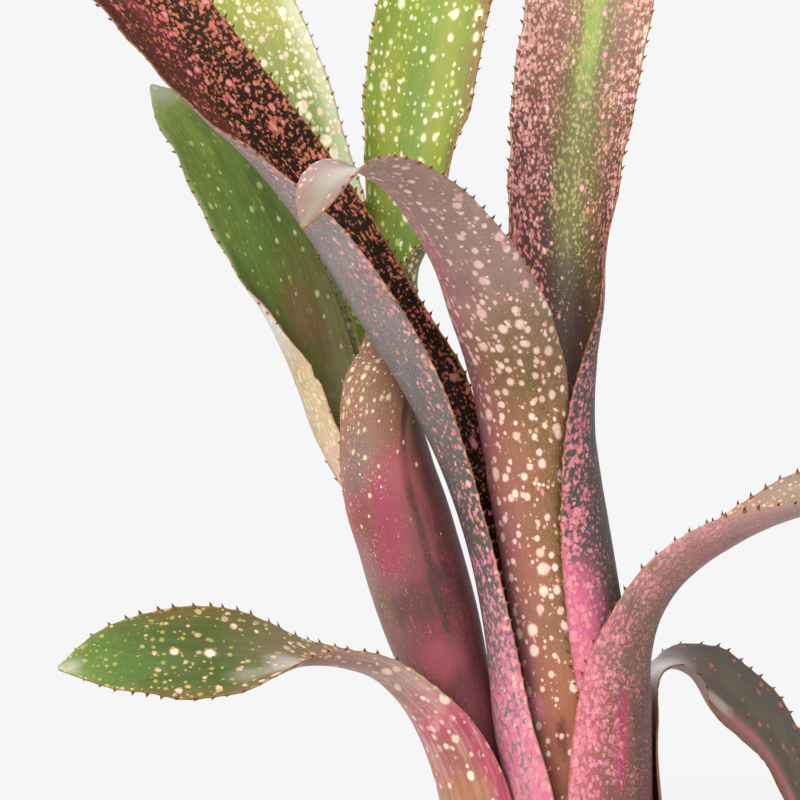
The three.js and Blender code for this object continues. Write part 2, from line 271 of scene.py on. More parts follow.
def bladeShell(at, length, teeth, rng):
    # the outer and the inner face as one closed sleeve, thinnest at the margins
    rows = int(round(length / leafForm["rowSpacing"])) + 1
    s = np.linspace(0, length, rows)
    cells = leafForm["cellsAcross"]
    crowding = leafForm["cellCrowding"]
    u = np.sin(np.linspace(-1, 1, cells + 1) * np.pi / 2 * crowding) / math.sin(np.pi / 2 * crowding)
    u[[0, -1]] = -1, 1
    grid = np.broadcast_to(u, (rows, cells + 1))
    points, normals, edgeward, half = onBlade(at, length, s, grid)
    points = points + edgeward * marginSwell(s, grid, teeth)[..., None]
    points = points + normals * marginWaves(s, grid, length, rng)[..., None]
    edge, middle = leafForm["marginThickness"], leafForm["thickness"]
    thick = edge + (middle - edge) * (1 - np.abs(grid) ** leafForm["marginSharpness"])
    outer = points + normals * (thick / 2)[..., None]
    inner = points - normals * (thick / 2)[..., None]
    sleeve = np.concatenate([outer, inner[:, ::-1]], 1)
    across = np.concatenate([grid, grid[:, ::-1]], 1)
    faceSide = np.concatenate([np.ones_like(grid), -np.ones_like(grid)], 1)
    width = sleeve.shape[1]
    number = np.arange(rows * width).reshape(rows, width)
    nextOne = np.roll(number, -1, 1)
    quads = np.stack([number[:-1], nextOne[:-1], nextOne[1:], number[1:]], -1).reshape(-1, 4)
    lower = np.arange(cells)
    foot = np.stack([number[0][lower], number[0][width - 1 - lower],
                     number[0][width - 2 - lower], number[0][lower + 1]], 1)
    top = np.stack([number[-1][lower], number[-1][lower + 1],
                    number[-1][width - 2 - lower], number[-1][width - 1 - lower]], 1)
    place = np.stack([np.broadcast_to(s[:, None], across.shape), across * half[:, None], faceSide], -1)
    share = np.stack([np.broadcast_to(s[:, None] / length, across.shape), across, 0 * across], -1)
    return sleeve.reshape(-1, 3), [quads, foot, top], place.reshape(-1, 3), share.reshape(-1, 3)


def toothFaces(rings, corners, count):
    # quads round the rings, a fan to the tip and a fan to the root, for every tooth
    ring = np.arange(rings * corners).reshape(rings, corners)
    around = np.roll(ring, -1, 1)
    tip, root = rings * corners, rings * corners + 1
    quads = np.stack([ring[:-1], around[:-1], around[1:], ring[1:]], -1).reshape(-1, 4)
    point = np.stack([ring[-1], around[-1], np.full(corners, tip)], -1)
    base = np.stack([around[0], ring[0], np.full(corners, root)], -1)
    step = (np.arange(count) * (root + 1))[:, None, None]
    fans = np.concatenate([point, base])
    return [(quads[None] + step).reshape(-1, 4), (fans[None] + step).reshape(-1, 3)]


def toothShells(at, length, teeth):
    # a hooked spine: flat rings shrinking along a bent centre line, closed by a tip and a root
    parts = []
    rise = np.array(leafForm["toothRings"])
    corners = leafForm["toothCorners"]
    turns = np.linspace(0, 2 * np.pi, corners + 1)[:-1]
    for sign in (-1, 1):
        places, size = teeth[sign]
        count = len(places)
        ends = np.full((count, 1), float(sign))
        root, normal, edgeward, half = onBlade(at, length, places, ends)
        leaned = np.minimum(places + leafForm["toothLean"] * size, length)
        ahead = onBlade(at, length, leaned, ends)[0]
        root, normal, edgeward, ahead = root[:, 0], normal[:, 0], edgeward[:, 0], ahead[:, 0]
        height = (leafForm["toothHeight"] * size)[:, None]
        run = unit(ahead - root)
        tip = ahead + edgeward * height
        bend = root + edgeward * height * leafForm["toothHook"]
        sunk = root - edgeward * leafForm["toothSunk"]
        t = rise[None, :, None]
        centre = sunk[:, None] * (1 - t) ** 2 + 2 * t * (1 - t) * bend[:, None] + t**2 * tip[:, None]
        base = (leafForm["toothHalfBase"] * size)[:, None, None, None]
        long = base * ((1 - t) ** leafForm["toothTaper"])[..., None]
        flat = leafForm["toothHalfThickness"] * (1 - 0.75 * t)[..., None]
        ring = (centre[:, :, None] + run[:, None, None] * long * np.cos(turns)[None, None, :, None] * sign
                + normal[:, None, None] * flat * np.sin(turns)[None, None, :, None])
        points = np.concatenate([ring.reshape(count, -1, 3), tip[:, None], sunk[:, None]], 1)
        level = np.concatenate([np.repeat(rise, corners), [1, 0]])[None]
        place = np.stack(np.broadcast_arrays(places[:, None], sign * half[:, None], 0 * level), -1)
        share = np.stack(np.broadcast_arrays(places[:, None] / length, float(sign), 0.05 + 0.95 * level), -1)
        parts.append((points.reshape(-1, 3), toothFaces(len(rise), corners, count),
                      place.reshape(-1, 3), share.reshape(-1, 3)))
    return parts


def buildLeaf(node, leaf):
    rng = np.random.default_rng(leaf["seed"])
    at, length = smoothCurve(leaf["stations"])
    teeth = {sign: toothPlaces(length, leaf.get("toothScale", 1.0), rng) for sign in (-1, 1)}
    shells = [bladeShell(at, length, teeth, rng)] + toothShells(at, length, teeth)
    points, faceSets, places, shares = [], [], [], []
    total = 0
    for shellPoints, shellFaces, place, share in shells:
        points.append(shellPoints)
        faceSets += [faces + total for faces in shellFaces]
        places.append(place)
        shares.append(share)
        total += len(shellPoints)
    piece = newPiece(node + "_blade", np.concatenate(points) / 1000, faceSets)
    keepOnPoints(piece, "leafPlace", np.concatenate(places) * (0.001, 0.001, 1))
    keepOnPoints(piece, "leafShare", np.concatenate(shares))
    piece.data.materials.append(leafPaint(node + "Skin", leaf, length))
    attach(piece, "root")
    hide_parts(node)
    print(node, "built:", len(piece.data.polygons), "faces")


def arithmetic(operation):
    # a Wire's own method for one Math node
    return lambda wire, *others: wire.maths(operation, wire, *others)


class Wire:
    # one socket of a material; arithmetic on it adds Math nodes
    def __init__(self, paint, socket):
        self.paint = paint
        self.socket = socket

    def maths(self, operation, *values):
        return self.paint.add("Math", {"operation": operation}, dict(enumerate(values)))

    def __rsub__(self, other):
        return self.maths("SUBTRACT", other, self)

    def clamped(self):
        return self.maths("MINIMUM", self.maths("MAXIMUM", self, 0.0), 1.0)

    def smooth(self, low, high):
        # eases from 0 at low to 1 at high
        return self.paint.add("MapRange", {"interpolation_type": "SMOOTHSTEP"},
                              {"Value": self, "From Min": low, "From Max": high}, "Result")

    __add__ = __radd__ = arithmetic("ADD")
    __sub__ = arithmetic("SUBTRACT")
    __mul__ = __rmul__ = arithmetic("MULTIPLY")
    __truediv__ = arithmetic("DIVIDE")
    __pow__ = arithmetic("POWER")
    __lt__ = arithmetic("LESS_THAN")
    __abs__ = arithmetic("ABSOLUTE")


class Paint:
    # one material and its nodes
    def __init__(self, name):
        self.material = bpy.data.materials.new(name)
        self.material.use_nodes = True
        self.tree = self.material.node_tree
        self.shader = self.tree.nodes["Principled BSDF"]

    def add(self, kind, settings, values, output=0):
        # a node with its settings and inputs; gives one output, or several for a tuple of names
        node = self.tree.nodes.new("ShaderNode" + kind)
        for key, value in settings.items():
            if key == "stops":
                self.setStops(node.color_ramp, value)
            else:
                setattr(node, key, value)
        for key, value in values.items():
            self.feed(node.inputs[key], value)
        if isinstance(output, tuple):
            return [Wire(self, node.outputs[name]) for name in output]
        return Wire(self, node.outputs[output])

    def feed(self, socket, value):
        if isinstance(value, Wire):
            self.tree.links.new(value.socket, socket)
        else:
            socket.default_value = value

    def setStops(self, ramp, stops):
        while len(ramp.elements) > 1:
            ramp.elements.remove(ramp.elements[-1])
        ramp.elements[0].position = stops[0][0]
        ramp.elements[0].color = stops[0][1]
        for position, colour in stops[1:]:
            ramp.elements.new(position).color = colour

    def mix(self, factor, first, second, blend="MIX"):
        settings = {"data_type": "RGBA", "blend_type": blend, "clamp_factor": True}
        return self.add("Mix", settings, {0: factor, 6: first, 7: second}, 2)

    def scaled(self, vector, by, shift=(0, 0, 0)):
        return self.add("VectorMath", {"operation": "MULTIPLY_ADD"}, {0: vector, 1: by, 2: shift})

    def noise(self, vector, scale, detail=2.0, roughness=0.5):
        values = {"Vector": vector, "Scale": scale, "Detail": detail, "Roughness": roughness}
        return self.add("TexNoise", {}, values, "Fac")

    def parts(self, vector):
        return self.add("SeparateXYZ", {}, {"Vector": vector}, ("X", "Y", "Z"))


def linear(code):
    # a colour from its six-digit code, as light
    value = np.array([int(code[i:i + 2], 16) for i in (0, 2, 4)]) / 255
    light = np.where(value <= 0.04045, value / 12.92, ((value + 0.055) / 1.055) ** 2.4)
    return (*[float(v) for v in light], 1.0)


tints = {name: linear(code) for name, code in {
    "pine": "4e5f22", "green": "6a862c", "leaf": "88a038", "lime": "b4b84a", "mint": "dbe3c0",
    "sage": "9db07c", "olive": "74642f", "moss": "646326", "bronze": "93674c", "terracotta": "a86c48",
    "brown": "6a4430", "umber": "402a1c", "night": "2b1b11", "maroon": "5a2a2e", "wine": "78343c",
    "rosewood": "985350", "rose": "be5866", "pink": "de8c9c", "hotPink": "d0628a", "magenta": "ac2c58",
    "coral": "cf7860", "blush": "ecc0b0", "mauve": "a08078", "slate": "4c4743", "ash": "807674",
    "cream": "f4e4cc", "peach": "e8c294", "sand": "c8b088", "gold": "a5a33e", "orchid": "b26c76",
    "mist": "d8d2cc", "rust": "a86c3a", "spine": "5a2a1c", "salmon": "d98f84", "murk": "6c3a30",
    "bark": "5e5040", "clay": "b4646a", "fern": "567a28",
}.items()}

# How every leaf's skin is patterned: noise scales per metre, the rest in metres or as shares
skinForm = {
    "drift": 70.0,  # slow change along the blade
    "wobble": 700.0,  # what bends the scattered marks
    "blotch": 240.0,  # broad cloudiness
    "streak": 800.0,  # straight lines along the veins
    "grain": 1500.0,  # fine dust
    "clump": 130.0,  # where the scattered marks crowd
    "bends": (0.0016, 0.0006),  # how far flecks and spots are bent
    "bandEase": 0.012,
    "margin": 0.965,  # from here to the edge the margin is rusty
    "marginAmount": 0.45,
    "relief": {"Distance": 0.0003, "Strength": 0.6},
    "roughness": 0.4,
}

everywhere = (-1, 1, 1, 1)


def pairs(stops):
    # a line of stops says place, value, place, value
    return zip(stops[::2], stops[1::2])


def alongBlade(paint, share, stops, length):
    # a run of tints along the blade, each at its distance from the foot
    stops = [(s / length, tints[tint]) for s, tint in pairs(stops)]
    return paint.add("ValToRGB", {"stops": stops}, {"Fac": share}, "Color")


def amounts(paint, where, stops, start, span):
    # a number that changes along a line, from its value at each stop
    grey = [((place - start) / span, (amount, amount, amount, 1.0)) for place, amount in pairs(stops)]
    return paint.add("ValToRGB", {"stops": grey}, {"Fac": where}, "Color")


def cells(paint, flat, merge=0):
    # scattered centres, one a cell: how far off the nearest is, and its own three draws;
    # merge lets neighbours run together
    values = {"Vector": flat, "Scale": 1.0, "Randomness": 1.0 if merge else 0.75}
    if merge:
        values["Smoothness"] = merge
    settings = {"voronoi_dimensions": "2D", "feature": "SMOOTH_F1" if merge else "F1"}
    distance, draw = paint.add("TexVoronoi", settings, values, ("Distance", "Color"))
    return distance, *paint.add("SeparateColor", {}, {"Color": draw}, ("Red", "Green", "Blue"))


def leafPaint(name, leaf, length):
    # the colour is laid one layer over another, from the ground up to the pale bloom of scurf and painted
    # sheen and the margin
    paint = Paint(name)
    place, shares = (paint.add("Attribute", {"attribute_name": layer}, {}, "Vector")
                     for layer in ("leafPlace", "leafShare"))
    share, u, tooth = paint.parts(shares)
    s, side = paint.parts(place)[::2]
    outer = (side * 0.5 + 0.5).clamped()
    faces = {"outer": outer, "inner": 1 - outer}
    seed = float(leaf["seed"])
    # the patterns lie in the blade; the scattered ones are bent, so that no dot is quite round
    lay = paint.add("VectorMath", {"operation": "ADD"}, {0: place, 1: (seed, 0, 0)})
    drift = paint.noise(lay, skinForm["drift"])
    wobbled = {"Vector": lay, "Scale": skinForm["wobble"], "Detail": 2.0}
    wobble = paint.add("TexNoise", {}, wobbled, "Color")
    bent, nearlyRound = (paint.scaled(wobble, (by, by, 0), lay) for by in skinForm["bends"])
    blotch = paint.noise(paint.scaled(lay, (0.35, 1, 1)), skinForm["blotch"], 5.0, 0.65)
    streak = paint.noise(paint.scaled(lay, (0.03, 1, 1)), skinForm["streak"], 3.0, 0.6)
    grain = paint.noise(lay, skinForm["grain"], 3.0, 0.8)
    clump = (paint.noise(lay, skinForm["clump"]) - 0.5) * 2.4 + 0.95
    moved = share + (drift - 0.5) * 0.06
    grounds = [alongBlade(paint, moved, leaf[face], length) for face in ("outer", "inner")]
    colour = paint.mix(faces["inner"], *grounds)

    def cover(mask, face, tint):
        # a tint over the colour so far, on one face or on both
        return paint.mix(mask if face == "both" else mask * faces[face], colour, tint)

    def level(along, across=everywhere):
        return amounts(paint, share, along, 0, length) * amounts(paint, u * 0.5 + 0.5, across, -1, 2)

    # bands run along the blade beside a line across it
    ease = skinForm["bandEase"]
    for face, line, reach, first, last, tint, amount in leaf.get("bands", []):
        near = 1 - (abs(u - line) + (blotch - 0.5) * 0.9 * reach).smooth(reach * 0.2, reach)
        where = s + (drift - 0.5) * 0.03
        begun, ended = (where.smooth(end / 1000 - ease, end / 1000 + ease) for end in (first, last))
        colour = cover(near * (begun * (1 - ended)) * amount, face, tints[tint])
    # washes are soft blots at one place
    for face, atS, atU, longReach, crossReach, tint, amount in leaf.get("washes", []):
        along, across = (s - atS / 1000) / (longReach / 1000), (u - atU) / crossReach
        far = (along ** 2.0 + across ** 2.0) ** 0.5
        blot = 1 - (far + (blotch - 0.5) * 1.1).smooth(0.3, 1.0)
        colour = cover(blot * amount, face, tints[tint])
    # the ground is never even: broad cloudiness, straight streaks and a fine grain
    shade = 0.62 + blotch * 0.42 + streak * 0.22 + (grain - 0.5) * leaf.get("dust", 0.35)
    shade = shade * leaf.get("light", 1.0) * (1 - faces["inner"] * (1 - leaf.get("innerLight", 1.0)))
    grey = paint.add("CombineColor", {}, dict.fromkeys(("Red", "Green", "Blue"), shade))
    colour = paint.mix(1.0, colour, grey, "MULTIPLY")
    # streaks are straight soft lines along the veins
    for face, tint, amount, *reach in leaf.get("streaks", []):
        lines = (streak * 0.75 + blotch * 0.4 - 0.08).smooth(0.44, 0.62)
        colour = cover(lines * level(*reach) * amount, face, tints[tint])
    # flecks are close ragged dots that run together where their amount is high
    for face, size, stretch, tint, otherTint, strength, *reach in leaf.get("flecks", []):
        closeness = (1000 / (size * stretch), 1000 / size, 0)
        flat = paint.scaled(bent, closeness, (seed + size, seed * 0.37, 0))
        distance, *draws = cells(paint, flat, 0.2)
        ragged = paint.noise(flat, 1.1, 2.0, 0.6)
        field = (1 - distance) * 0.42 + ragged * 0.55 + blotch * 0.2 + grain * 0.1
        rim = 1.0 - level(*reach) * (0.6 + 0.4 * clump) * 0.6
        dot = paint.mix(draws[-1], tints[tint], tints[otherTint])
        colour = cover((field - rim).smooth(-0.02, 0.12) * strength, face, dot)
    # spots are single round dots, tinted round the rim
    for face, size, stretch, largest, tint, otherTint, strength, *reach in leaf.get("spots", []):
        closeness = (1000 / (size * stretch), 1000 / size, 0)
        flat = paint.scaled(nearlyRound, closeness, (3 * size, seed * 0.37, 0))
        distance, draw, chance, tone = cells(paint, flat)
        edge = distance / (largest * (0.34 + 0.66 * draw ** 2.0))
        there = chance < level(*reach) * clump
        dot = paint.mix(tone, tints[tint], tints[otherTint])
        halo = (1 - edge.smooth(0.7, 1.5)) * there * 0.4 * strength
        colour = cover(halo, face, tints[leaf.get("halo", "rose")])
        colour = cover((1 - edge.smooth(0.5, 1.05)) * there * strength, face, dot)
    # a pale bloom, partly the real scurf and partly a painted sheen, then a rusty margin, and spines that
    # darken to their tips
    paleScurfAndSheen = amounts(paint, share, leaf["scurfAndSheen"], 0, length) * (0.3 + blotch * 1.4)
    colour = cover(paleScurfAndSheen.clamped(), leaf.get("scurfAndSheenFace", "both"), tints["mist"])
    onTooth = tooth.smooth(0.0, 0.04)
    margin = abs(u).smooth(skinForm["margin"], 1.0) * (1 - onTooth)
    colour = cover(margin * skinForm["marginAmount"], "both", tints["rust"])
    spine = paint.mix(tooth.smooth(0.1, 0.55), tints["rust"], tints["spine"])
    sockets = paint.shader.inputs
    paint.feed(sockets["Base Color"], cover(onTooth, "both", spine))
    paint.feed(sockets["Roughness"], skinForm["roughness"] + 0.16 * blotch + paleScurfAndSheen * 0.3)
    veins = paint.noise(paint.scaled(lay, (0.02, 1, 1)), skinForm["grain"], 1.0)
    relief = {"Height": veins * 0.6 + grain * 0.35 + blotch * 0.3, **skinForm["relief"]}
    paint.feed(sockets["Normal"], paint.add("Bump", {}, relief, "Normal"))
    sockets["Specular IOR Level"].default_value = leaf.get("gloss", 0.22)
    return paint.material


# The leaves. Distances from the foot and sizes are in millimetres, and lines across the blade
# run from -1 at one margin to 1 at the other.
# stations: x, y, z, half width, channel radius, facing, roll
# outer, inner: tints along the blade, each after its distance from the foot
# bands: face, line across, reach, from, to, tint, amount
# washes: face, distance from the foot, line across, reach along, reach across, tint, amount
# streaks: face, tint, amount, then amounts along and, where they are uneven, amounts across
# flecks: face, size, stretch, two tints, strength, then the amounts as above
# spots: face, spacing, stretch, largest radius, two tints, strength, then the amounts as above
# halo: the tint round the spots; scurfAndSheen: amounts of pale bloom along, real scurf with a painted sheen,
# on scurfAndSheenFace or on both faces
# dust: how strong the grain is; light and innerLight: brightness of the leaf and of its inner face
lowLeftLeaf = {
    "seed": 6,
    "stations": [
        [-31.8, -3.6, 12, 20, 12, -53, 0], [-32.4, -3.2, 60, 20, 12.4, -53, 0],
        [-31.2, -8.2, 100, 17.5, 15, -44, 0], [-39.8, -9.5, 121, 14.5, 12, -47, 0],
        [-47, -11.5, 130.5, 13, 11.5, -58, 0], [-55.3, -14.5, 137.8, 12.3, 11.5, -66, 0],
        [-65.5, -19, 141.5, 11.6, 12, -72, 0], [-76, -23, 142.8, 11.8, 13, -72, -12],
        [-86, -26, 143.7, 12.8, 17, -72, -38], [-96.5, -29, 144.6, 14.3, 22, -72, -60],
        [-108, -32, 145.3, 14.6, 26, -72, -70], [-121, -35, 145.4, 12.7, 28, -72, -72],
        [-134, -38, 144.4, 8.8, 28, -72, -70], [-147, -41, 142.3, 0.7, 28, -72, -65],
    ],
    "outer": (40, "bronze", 92, "terracotta", 104, "rosewood", 112, "rose", 130, "mauve", 160, "bronze",
        190, "moss", 231, "green"),
    # the inner tints end in pale sage at the tip: partly the tip's own paler green, partly painted sheen
    "inner": (0, "olive", 90, "bronze", 112, "rose", 128, "rosewood", 140, "bronze", 160, "olive",
        172, "moss", 184, "pine", 200, "pine", 216, "fern", 226, "green", 231, "sage"),
    "bands": [
        ("outer", 1, 0.5, 30, 112, "magenta", 0.9), ("inner", -1, 0.5, 150, 214, "olive", 0.8),
        ("inner", 1, 0.35, 165, 212, "olive", 0.7), ("outer", -0.2, 0.3, 98, 128, "blush", 0.4),
        ("outer", -0.6, 0.5, 104, 122, "magenta", 0.45),
    ],
    "washes": [
        ("outer", 112, -0.1, 8, 0.22, "magenta", 0.5), ("outer", 98, -0.3, 8, 0.3, "rose", 0.5),
        # the pale mist washes on the inner face at 164, 174 and 229 mm are painted sheen on the stalk and the
        # tip
        ("outer", 128, 0.2, 12, 0.4, "bronze", 0.6), ("inner", 164, 0.3, 9, 0.7, "mist", 0.6),
        ("inner", 229, 0.2, 6, 1, "mist", 0.6), ("inner", 174, 0.5, 10, 0.3, "mist", 0.3),
        ("inner", 205, 0.1, 16, 0.4, "fern", 0.5),
    ],
    "innerLight": 0.88,
    "streaks": [
        ("outer", "blush", 0.6, (0, 0, 90, 0.3, 105, 0.8, 135, 0.8, 160, 0), (-1, 1, 1, 0.6)),
        ("both", "olive", 0.4, (0, 0.3, 231, 0.4)),
    ],
    "flecks": [
        ("outer", 1.8, 2.2, "pink", "magenta", 0.7, (0, 0.1, 90, 0.4, 112, 0.56, 150, 0.3)),
        ("inner", 1, 1.4, "lime", "green", 0.6, (165, 0, 180, 0.25, 231, 0.4)),
    ],
    "spots": [
        ("both", 4.2, 1.35, 0.38, "blush", "cream", 0.85, (0, 0.5, 90, 0.7, 150, 0.7, 180, 0.3, 210, 0.12,
         231, 0.05), (-1, 1, -0.6, 0.8, 0.2, 0.6, 1, 1)),
        ("both", 2.7, 1.5, 0.4, "blush", "sand", 0.8, (0, 0.2, 95, 0.3, 105, 0.9, 150, 0.8, 185, 0.25,
         231, 0.05), (-1, 1, -0.5, 0.7, 0.5, 0.6, 1, 1)),
        ("inner", 2.2, 1.3, 0.32, "lime", "gold", 0.8, (0, 0, 170, 0.2, 190, 0.6)),
        ("both", 2.2, 1.4, 0.4, "peach", "gold", 0.9, (0, 0, 150, 0.3, 180, 0.7, 231, 0.6), (-1, 1.2,
         -0.7, 0.2, 0.7, 0.2, 1, 1.2)),
    ],
    "halo": "bronze",
    "scurfAndSheen": (0, 0.03, 110, 0.05, 130, 0.12, 160, 0.12, 185, 0.02, 231, 0.03),
}

rightArchingLeaf = {
    "seed": 4,
    "stations": [
        [23, -9.2, 14, 25, 18.5, 60, 0], [23.9, -9.8, 60, 26, 19.5, 60, 0], [25.1, -9.1, 100, 28, 20, 63, 0],
        [25.5, -6, 129, 25, 18, 66, 0], [26, -4, 142.5, 22, 16, 70, 0], [29, -3, 153.5, 19.5, 13.5, 78, 0],
        [34.5, -2, 163, 17.8, 12.2, 85, -4], [43, -1, 171, 16.5, 12, 90, -6],
        [52.5, 0, 177, 15.5, 12.5, 90, -3], [63, 2, 182.5, 14.8, 13.5, 90, 9], [74, 4, 187, 14.8, 15, 90, 21],
        [89.5, 7, 190.5, 14.5, 18, 90, 22], [105, 10, 190, 13, 20, 90, 22],
        [120.5, 13, 184.5, 9.8, 22, 90, 20], [137.5, 16, 173.5, 0.7, 22, 90, 20],
    ],
    "outer": (140, "brown", 165, "rosewood", 200, "mauve", 268, "bronze"),
    "inner": (0, "brown", 90, "umber", 140, "brown", 180, "bronze", 220, "olive", 268, "moss"),
    "bands": [
        ("outer", -1, 0.5, 20, 130, "rose", 0.75), ("outer", 0.75, 1, 50, 155, "umber", 1),
        ("outer", 0.1, 0.35, 40, 128, "maroon", 0.7), ("outer", 0.3, 0.3, 130, 180, "mauve", 0.5),
    ],
    "washes": [
        ("outer", 104, -0.46, 22, 0.16, "magenta", 0.85), ("outer", 104, -0.1, 30, 0.22, "maroon", 0.75),
        ("outer", 128, 0.1, 16, 0.3, "maroon", 0.6), ("outer", 78, 0.05, 22, 0.25, "wine", 0.6),
    ],
    "flecks": [
        ("outer", 1.5, 1.5, "pink", "hotPink", 0.9, (0, 0.5, 60, 0.68, 120, 0.66, 150, 0.5, 180, 0.4,
         268, 0.3), (-1, 1, -0.75, 0.95, -0.4, 0.6, 0, 0.4, 1, 0.3)),
        ("outer", 1, 1.2, "coral", "salmon", 0.6, (0, 0.4, 130, 0.46, 200, 0.5, 268, 0.4), (-1, 1, 0, 0.9)),
        ("outer", 1.2, 1.3, "coral", "rose", 0.8, (0, 0.3, 60, 0.45, 130, 0.55, 200, 0.5, 268, 0.3), (-1, 0.9,
         0, 0.8, 1, 0.7)),
        ("outer", 0.9, 1.2, "umber", "maroon", 0.7, (0, 0.4, 130, 0.46, 268, 0.3), (-1, 0.8, 0, 1, 1, 1.1)),
    ],
    "spots": [
        ("inner", 3, 1.3, 0.42, "coral", "peach", 0.9, (0, 0.3, 140, 0.6, 268, 0.9)),
        ("inner", 1.8, 1.3, 0.4, "coral", "peach", 0.85, (0, 0.3, 140, 0.6, 268, 0.9)),
    ],
    "halo": "brown",
    "scurfAndSheen": (0, 0.02, 120, 0.06, 160, 0.16, 200, 0.22, 268, 0.06),
}

rightDroopingLeaf = {
    "seed": 5,
    "stations": [
        [20.8, 16.5, 10, 24, 21.5, 140, 0], [21.5, 17.2, 60, 25, 22.5, 140, 0],
        [22, 18, 100, 24, 22.5, 140, 0], [22.4, 16.6, 119, 18.5, 20.8, 136, 0],
        [24.3, 19.3, 130.5, 12, 20, 130, 0], [28.5, 22.7, 136.3, 8, 22, 123, 0],
        [34, 26.8, 138.2, 7.2, 26, 118, 2], [39.5, 31, 137.2, 10.5, 30, 115, 26],
        [47, 37, 132, 14.4, 30, 112, 50], [55.5, 43, 125.3, 15, 30, 110, 52],
        [64, 49, 117.5, 15, 30, 110, 52], [71, 54, 108, 14, 30, 110, 52], [77.5, 58, 95, 12.5, 30, 110, 52],
        [83, 61, 81, 9, 30, 110, 52], [87.5, 63, 66, 0.7, 30, 110, 52],
    ],
    "outer": (0, "bronze", 50, "wine", 110, "wine", 140, "mauve", 160, "rosewood", 238, "bronze"),
    "inner": (0, "brown", 100, "maroon", 124, "brown", 134, "ash", 150, "bark", 200, "bark", 238, "murk"),
    "bands": [
        ("inner", -0.6, 0.5, 150, 236, "rosewood", 0.9), ("inner", -0.5, 0.22, 160, 232, "clay", 0.75),
        ("inner", 0, 0.3, 150, 232, "umber", 0.4), ("inner", 0.9, 0.5, 145, 238, "slate", 0.5),
    ],
    "washes": [
        # all three mist washes are painted highlights: a pale band across the neck at 138 mm and two whitish
        # blots further along the blade
        ("inner", 138, 0, 11, 1.2, "mist", 0.7), ("inner", 158, -0.35, 10, 0.3, "mist", 0.5),
        ("inner", 215, -0.8, 14, 0.3, "mist", 0.4),
    ],
    "flecks": [
        ("both", 1.3, 2.4, "rose", "coral", 0.5, (0, 0.55, 100, 0.5, 150, 0.36, 238, 0.4), (-1, 1, 0.2, 0.6,
         1, 0.2)),
        ("both", 1, 2, "umber", "slate", 0.5, (0, 0.2, 150, 0.3, 238, 0.35), (-1, 0.7, 1, 1)),
    ],
    "spots": [
        ("both", 3.2, 1.3, 0.36, "rust", "coral", 0.6, (0, 0.3, 238, 0.35)),
    ],
    "scurfAndSheen": (0, 0.03, 120, 0.05, 138, 0.2, 156, 0.06, 238, 0.03),
}

leftDarkLeaf = {
    "seed": 1,
    "stations": [
        [-10.5, 4.5, 14, 25, 18.5, -90, -15], [-12, 3.2, 60, 25.5, 19.5, -90, -11],
        [-15, 0.4, 99.5, 26, 19, -90, -7], [-18.9, 0.6, 121.5, 23.2, 16, -90, -12],
        [-21.2, 1, 147.5, 19.6, 13.5, -90, -18], [-26.8, 0, 176.5, 17.6, 12.5, -90, -19],
        [-34.4, 0, 199, 19, 12.5, -90, -19], [-44.5, 0, 220, 21.8, 12.5, -90, -18],
        [-59, 0, 243.5, 22.8, 13, -90, -15], [-71.5, 0, 265, 22.5, 14.5, -90, -19],
        [-86.8, 1, 288.5, 20.8, 18, -90, -30], [-103.5, 2, 310, 19.6, 24, -90, -43],
        [-125, 4, 337, 18.3, 28, -90, -50], [-147.5, 6, 360, 14, 30, -90, -50],
        [-175, 8, 381.5, 0.7, 30, -90, -50],
    ],
    "outer": (0, "bronze", 40, "rosewood", 80, "mauve", 125, "ash", 170, "slate", 240, "ash"),
    "inner": (0, "brown", 100, "maroon", 140, "umber", 170, "night", 300, "night", 340, "umber"),
    "bands": [
        ("inner", 0.85, 1, 285, 420, "murk", 0.9), ("inner", 0.05, 0.3, 330, 420, "wine", 0.75),
        ("inner", 0.15, 0.16, 350, 420, "rose", 0.6), ("inner", 0.4, 0.4, 296, 420, "murk", 0.6),
    ],
    "streaks": [
        ("inner", "night", 0.6, (0, 0.3, 300, 0.7), (-1, 0.3, 0, 1)),
    ],
    "flecks": [
        ("outer", 1.1, 1.2, "slate", "moss", 0.7, (0, 0.3, 80, 0.4, 120, 0.5, 160, 0.5, 420, 0.4), (-1, 1,
         1, 0.8)),
        ("outer", 1.5, 1.5, "pink", "hotPink", 0.85, (0, 0.5, 70, 0.9, 100, 0.84, 128, 0.68, 150, 0.56,
         180, 0.42, 420, 0.4), (-1, 1, 0.3, 0.9, 0.7, 0.95, 1, 1.15)),
        ("outer", 1.7, 1.7, "blush", "coral", 0.8, (0, 0.3, 100, 0.35, 140, 0.42, 180, 0.38, 420, 0.3),
         (0.3, 0.7, 0.8, 1.1, 1, 1.5)),
        ("inner", 1.5, 1.2, "coral", "rust", 0.8, (0, 0.2, 150, 0.4, 260, 0.44, 320, 0.5, 420, 0.52),
         (-1, 1.1, 0, 0.9, 1, 0.7)),
        ("inner", 2.2, 1.3, "rose", "coral", 0.9, (0, 0.2, 150, 0.44, 260, 0.42, 320, 0.44, 420, 0.5), (0, 1,
         1, 0.7)),
    ],
    "spots": [
        ("inner", 3.4, 1.4, 0.4, "coral", "pink", 0.8, (0, 0.1, 150, 0.25, 300, 0.3, 420, 0.4), (-1, 1,
         1, 0.4)),
    ],
    "halo": "murk",
    "scurfAndSheenFace": "outer",
    "dust": 1.4,
    "gloss": 0.1,
    "light": 0.95,
    "innerLight": 0.72,
    "scurfAndSheen": (0, 0, 150, 0.02, 200, 0.05, 290, 0.1, 420, 0),
}

